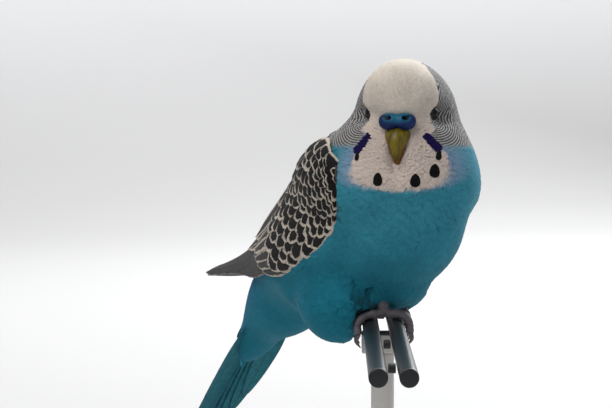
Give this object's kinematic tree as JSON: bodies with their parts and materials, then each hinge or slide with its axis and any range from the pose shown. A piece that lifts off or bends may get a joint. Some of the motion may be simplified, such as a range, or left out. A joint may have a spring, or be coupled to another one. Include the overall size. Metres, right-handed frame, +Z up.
{
  "type": "perched budgerigar model",
  "caption": "Life-size still model of a budgerigar that grips a short twin rail, carried by a plain stand with a round flat base and one post.",
  "frame": {"origin": "centre of the underside of the stand's round base", "axes": "+Z up from the floor; the bird's body faces -Y and its left side is +X"},
  "size_m": [0.1, 0.2094, 0.1384],
  "materials": {
    "cap": "matt white plumage",
    "mask": "matt white plumage with dark spots",
    "body": "matt sky-blue plumage",
    "wing": "matt black feathers with pale scalloped edges",
    "tail": "satin dark blue feathers",
    "eye": "wet gloss",
    "cere": "smooth waxy blue skin",
    "bill": "satin horn",
    "leg": "scaly skin",
    "rail": "gloss black paint",
    "stand": "matt light grey paint"
  },
  "bodies": {
    "root": {"head": "cap", "neck": "mask", "torso": "body", "tail": "tail", "wing_right": "wing", "wing_left": "wing", "thigh_right": "body", "thigh_left": "body", "foot_right": "leg", "foot_left": "leg", "eye_left": "eye", "eye_right": "eye", "cere": "cere", "bill_upper": "bill", "bill_lower": "bill", "rail_left": "rail", "rail_right": "rail", "rail_rung_1": "rail", "rail_rung_2": "rail", "rail_rung_3": "rail", "stand_base": "stand", "stand_post": "stand", "stand_saddle": "stand"}
  },
  "joints": []
}
